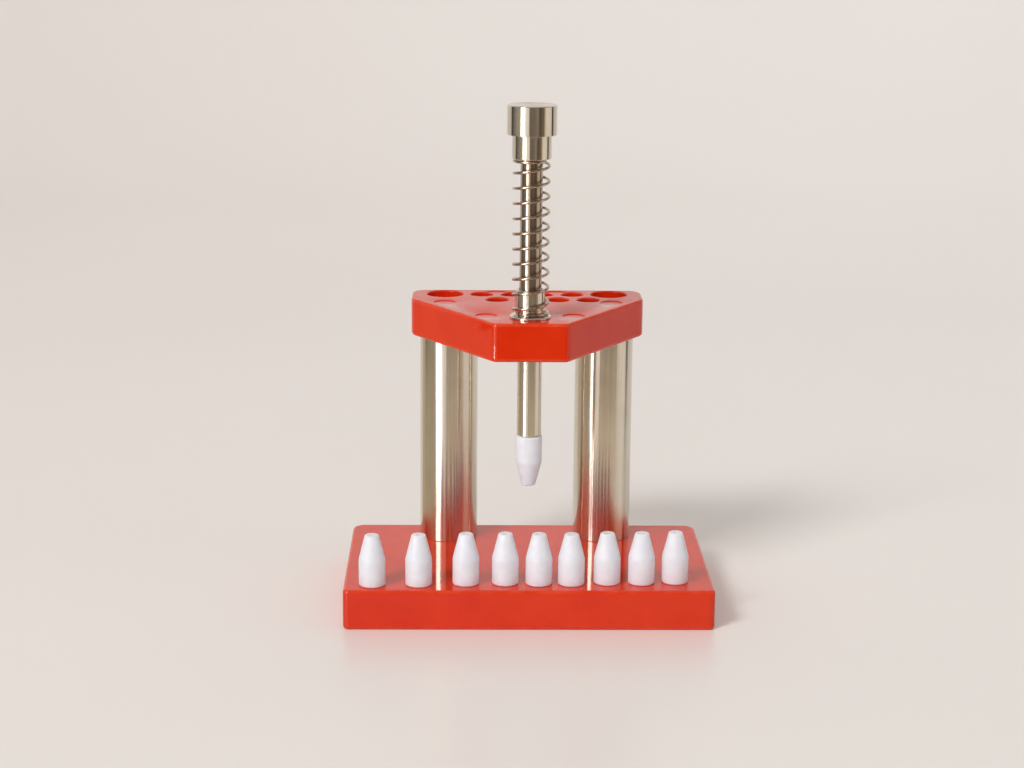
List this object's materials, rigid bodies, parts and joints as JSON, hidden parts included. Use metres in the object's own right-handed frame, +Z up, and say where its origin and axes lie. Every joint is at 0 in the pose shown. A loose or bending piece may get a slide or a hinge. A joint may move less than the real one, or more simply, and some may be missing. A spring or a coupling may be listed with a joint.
{
  "type": "watch hand setting press",
  "caption": "Bench press for setting watch hands: base plate, pillars and top plate hold a sprung plunger with a nylon die, and spare dies stand on the base.",
  "frame": {"origin": "middle of the base plate's underside, which is the middle of the bounding box's bottom face", "axes": "+Z up along the plunger, +X along the base plate's long side to the right of a user, +Y away from the user towards the pillars"},
  "size_m": [0.0904, 0.055, 0.1252],
  "materials": {
    "red_enamel": "glossy orange-red enamel on a casting, with a faint orange peel",
    "polished_steel": "polished nickel-plated steel with fine marks along its length",
    "spring_steel": "bright spring wire",
    "screw_steel": "dark oiled steel",
    "white_nylon": "smooth white nylon with a slight cool tint"
  },
  "bodies": {
    "frame": {"base_plate": "red_enamel", "top_plate": "red_enamel", "guide_bush": "polished_steel", "pillar_left": "polished_steel", "pillar_right": "polished_steel", "base_screw_left": "screw_steel", "base_screw_right": "screw_steel", "top_stud_left": "screw_steel", "top_stud_right": "screw_steel"},
    "spring_swivel": {"return_spring": "spring_steel"},
    "plunger": {"plunger_rod": "polished_steel", "push_knob": "polished_steel"},
    "tip_die": {"plunger_die": "white_nylon"},
    "loose_spare_die_1": {"spare_die_1": "white_nylon"},
    "loose_spare_die_2": {"spare_die_2": "white_nylon"},
    "loose_spare_die_3": {"spare_die_3": "white_nylon"},
    "loose_spare_die_4": {"spare_die_4": "white_nylon"},
    "loose_spare_die_5": {"spare_die_5": "white_nylon"},
    "loose_spare_die_6": {"spare_die_6": "white_nylon"},
    "loose_spare_die_7": {"spare_die_7": "white_nylon"},
    "loose_spare_die_8": {"spare_die_8": "white_nylon"},
    "loose_spare_die_9": {"spare_die_9": "white_nylon"}
  },
  "joints": [
    {"name": "plunger_turn", "type": "hinge", "parent": "frame", "child": "spring_swivel", "pos_m": [0, -0.008, 0.0742], "axis": [0, 0, 1], "continuous": true},
    {"name": "plunger_press", "type": "slide", "parent": "spring_swivel", "child": "plunger", "axis": [0, 0, -1], "range_m": [0, 0.0209], "stiffness_N_per_m": 400, "springref_m": -0.0055, "deforming": ["return_spring"]},
    {"name": "tip_die_pull", "type": "slide", "parent": "plunger", "child": "tip_die", "axis": [0, 0, 1], "range_m": [-0.012, 0]},
    {"name": "lift_spare_die_1", "type": "slide", "parent": "frame", "child": "loose_spare_die_1", "axis": [0, 0, 1], "range_m": [0, 0.03]},
    {"name": "lift_spare_die_2", "type": "slide", "parent": "frame", "child": "loose_spare_die_2", "axis": [0, 0, 1], "range_m": [0, 0.03]},
    {"name": "lift_spare_die_3", "type": "slide", "parent": "frame", "child": "loose_spare_die_3", "axis": [0, 0, 1], "range_m": [0, 0.03]},
    {"name": "lift_spare_die_4", "type": "slide", "parent": "frame", "child": "loose_spare_die_4", "axis": [0, 0, 1], "range_m": [0, 0.03]},
    {"name": "lift_spare_die_5", "type": "slide", "parent": "frame", "child": "loose_spare_die_5", "axis": [0, 0, 1], "range_m": [0, 0.03]},
    {"name": "lift_spare_die_6", "type": "slide", "parent": "frame", "child": "loose_spare_die_6", "axis": [0, 0, 1], "range_m": [0, 0.03]},
    {"name": "lift_spare_die_7", "type": "slide", "parent": "frame", "child": "loose_spare_die_7", "axis": [0, 0, 1], "range_m": [0, 0.03]},
    {"name": "lift_spare_die_8", "type": "slide", "parent": "frame", "child": "loose_spare_die_8", "axis": [0, 0, 1], "range_m": [0, 0.03]},
    {"name": "lift_spare_die_9", "type": "slide", "parent": "frame", "child": "loose_spare_die_9", "axis": [0, 0, 1], "range_m": [0, 0.03]}
  ]
}
